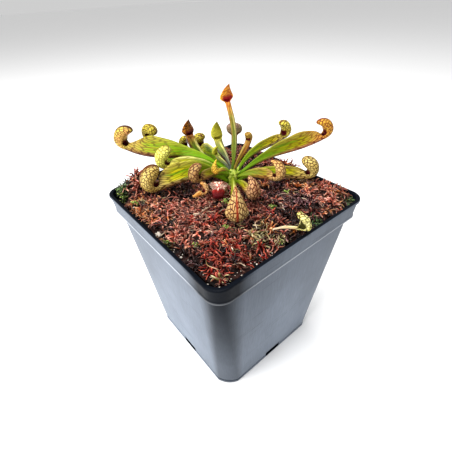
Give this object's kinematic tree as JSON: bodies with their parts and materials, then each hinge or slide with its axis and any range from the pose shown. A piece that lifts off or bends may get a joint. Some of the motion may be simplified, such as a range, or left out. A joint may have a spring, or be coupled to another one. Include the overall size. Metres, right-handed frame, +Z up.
{
  "type": "potted pitcher plant",
  "caption": "Parrot pitcher plant in a square plastic nursery pot: a rosette of winged tubes with hooked, netted hoods, one upright pitcher, on red and green moss.",
  "frame": {"origin": "centre of the pot's flat underside", "axes": "+Z up along the pot's axis, X and Y square to the pot's sides; the plant's crown stands 8 mm towards +X and 7.5 mm towards +Y from the axis"},
  "size_m": [0.0999, 0.1055, 0.1424],
  "materials": {
    "pot_plastic": "moulded blue-grey plastic, semi-gloss outside, near black inside the rim",
    "peat": "damp dark peat with white perlite crumbs, rough",
    "moss": "living moss in salmon, red-brown and lime strands over near black, rough",
    "crown": "bright green leaf bases, waxy",
    "pitcher_green": "yellow-green waxy leaf, hood netted in red-brown over gold, satin",
    "pitcher_red": "orange-brown waxy leaf with a dark crimson throat, satin",
    "withered_pitcher": "dry papery leaf, pale net over dark red, matt"
  },
  "bodies": {
    "root": {"pot": "pot_plastic", "peat": "peat", "moss": "moss", "crown": "crown", "pitcher_left_long": "pitcher_green", "pitcher_left_back": "pitcher_green", "pitcher_back_brown": "pitcher_red", "pitcher_back_far": "pitcher_green", "pitcher_back_olive": "pitcher_green", "pitcher_back_bud": "pitcher_green", "pitcher_tall": "pitcher_red", "pitcher_back_dusky": "pitcher_red", "pitcher_back_short": "pitcher_red", "pitcher_right_back": "pitcher_green", "pitcher_right_long": "pitcher_green", "pitcher_right_low": "pitcher_green", "pitcher_right_short": "pitcher_green", "pitcher_front_right": "pitcher_green", "pitcher_front": "pitcher_green", "pitcher_left_near": "pitcher_green", "pitcher_left_low": "pitcher_green", "pitcher_left_mid": "pitcher_green", "pitcher_young_near": "pitcher_green", "pitcher_young_left": "pitcher_green", "withered_red": "withered_pitcher", "withered_ochre": "withered_pitcher", "withered_yellow": "withered_pitcher"}
  },
  "joints": []
}
